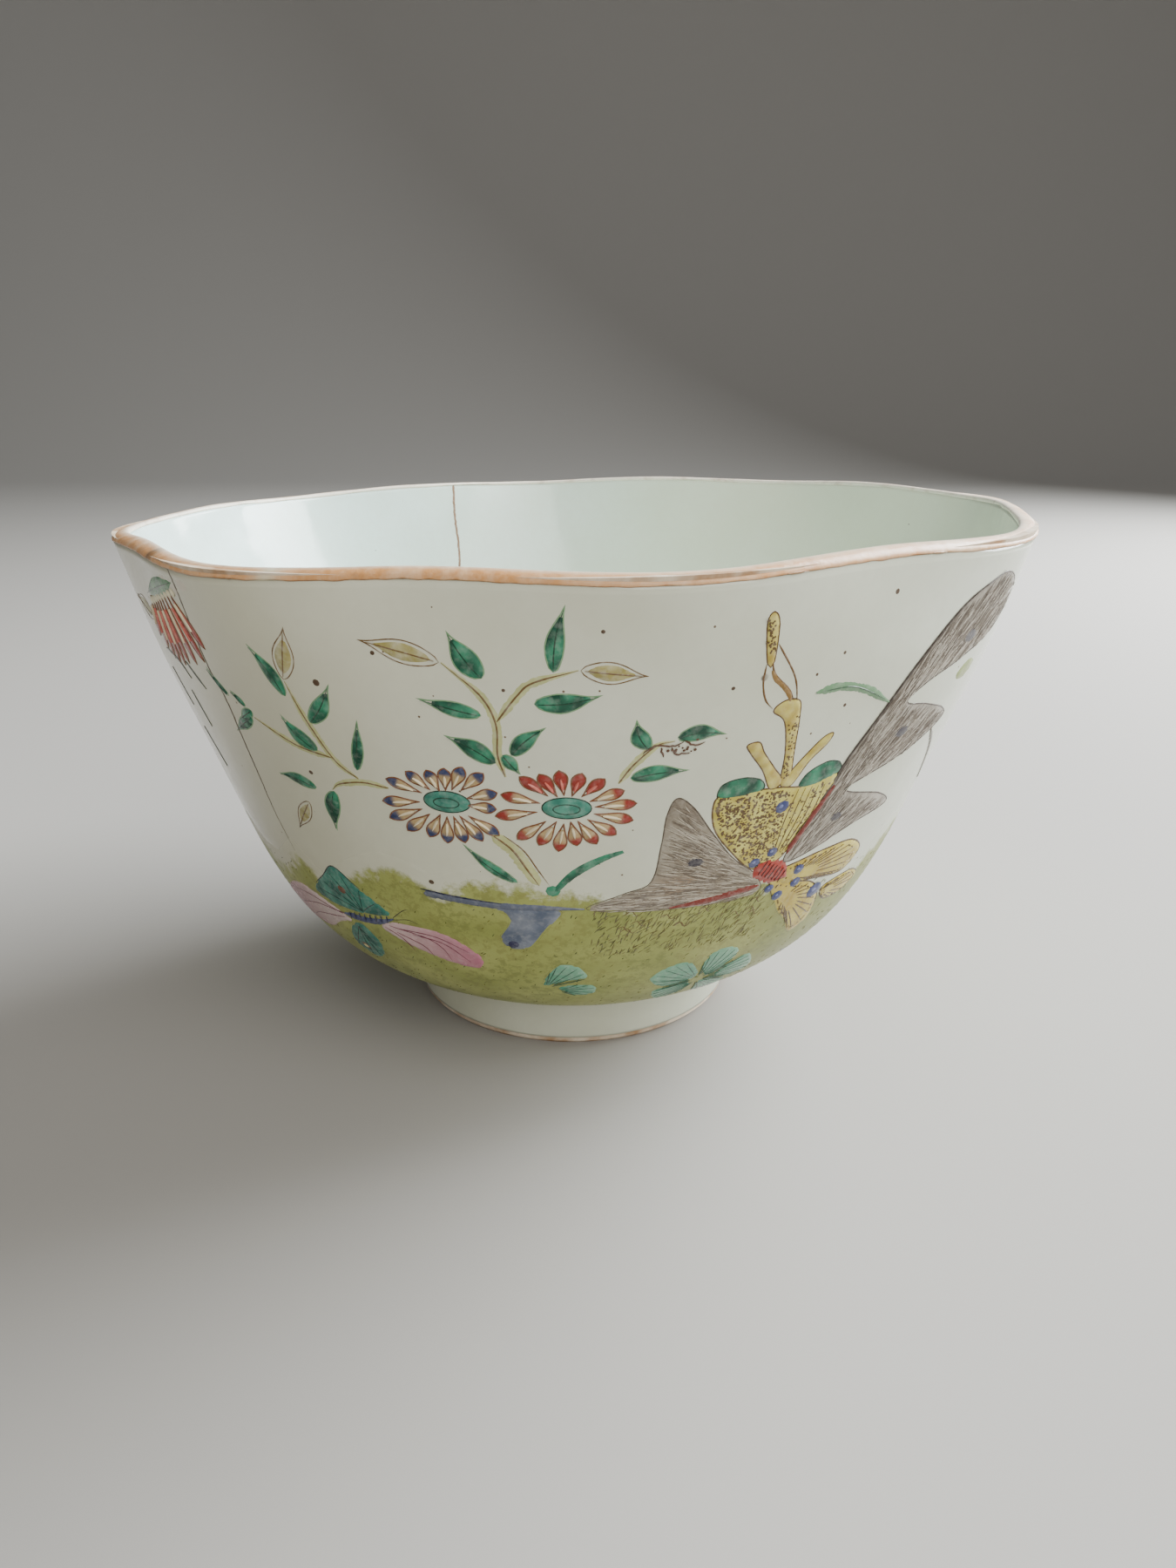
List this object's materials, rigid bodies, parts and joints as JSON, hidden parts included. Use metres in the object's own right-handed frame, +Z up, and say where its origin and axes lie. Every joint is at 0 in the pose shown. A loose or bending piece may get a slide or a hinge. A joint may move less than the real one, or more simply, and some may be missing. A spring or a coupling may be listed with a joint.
{
  "type": "tea bowl",
  "caption": "Lobed porcelain tea bowl of a gaiwan on a turned foot ring, glazed inside and out, with a dressed lip and raised enamel flowers and insects.",
  "frame": {"origin": "middle of the foot ring, on the face that the bowl stands on", "axes": "+Z up through the mouth; -Y is the painted front; +X to the right of the front"},
  "size_m": [0.1165, 0.1164, 0.0689],
  "materials": {
    "porcelain": "unglazed white porcelain, matt",
    "inner_glaze": "clear glossy glaze, faintly blue-green",
    "outer_glaze": "clear glossy glaze, faintly grey-green",
    "base_glaze": "clear glossy glaze",
    "rim_dressing": "ochre-brown iron dressing, worn",
    "turf": "yellow-green translucent enamel, stippled",
    "leaf_green": "blue-green translucent enamel",
    "leaf_ochre": "ochre-green thin enamel",
    "stem_brown": "thin brown line and ochre wash",
    "petal_blue": "cream enamel petals with blue tips",
    "petal_red": "cream enamel petals with iron-red tips",
    "eye_turquoise": "turquoise enamel",
    "pond_turquoise": "pale turquoise enamel",
    "grass_grey_green": "grey-green enamel stroke",
    "twig_blue": "blue-grey enamel",
    "wing_grey": "grey-brown hair-stroked enamel",
    "wing_yellow": "yellow enamel, stippled brown",
    "wing_teal": "teal enamel",
    "wing_pink": "rose enamel",
    "body_red": "rose-red enamel",
    "bar_brown": "iron-brown stroke",
    "spot_blue": "cobalt blue enamel"
  },
  "bodies": {
    "root": {"porcelain_body": "porcelain", "inner_glaze": "inner_glaze", "outer_glaze": "outer_glaze", "base_glaze": "base_glaze", "rim_dressing": "rim_dressing", "turf_enamel": "turf", "blue_aster_petals": "petal_blue", "blue_aster_eye": "eye_turquoise", "red_aster_petals": "petal_red", "red_aster_eye": "eye_turquoise", "side_aster_petals": "petal_red", "side_aster_cap": "leaf_green", "green_leaves": "leaf_green", "ochre_leaves": "leaf_ochre", "flower_stems": "stem_brown", "pond_leaves": "pond_turquoise", "grass_blades": "grass_grey_green", "blue_twig": "twig_blue", "moth_body": "twig_blue", "moth_teal_wings": "wing_teal", "moth_pink_wings": "wing_pink", "butterfly_body": "body_red", "butterfly_bars": "bar_brown", "butterfly_spots": "spot_blue", "butterfly_heart_wing": "wing_yellow", "butterfly_horns": "wing_yellow", "butterfly_lower_wings": "wing_yellow", "butterfly_left_wing": "wing_grey", "butterfly_right_wing": "wing_grey", "butterfly_wing_leaves": "leaf_green"}
  },
  "joints": []
}
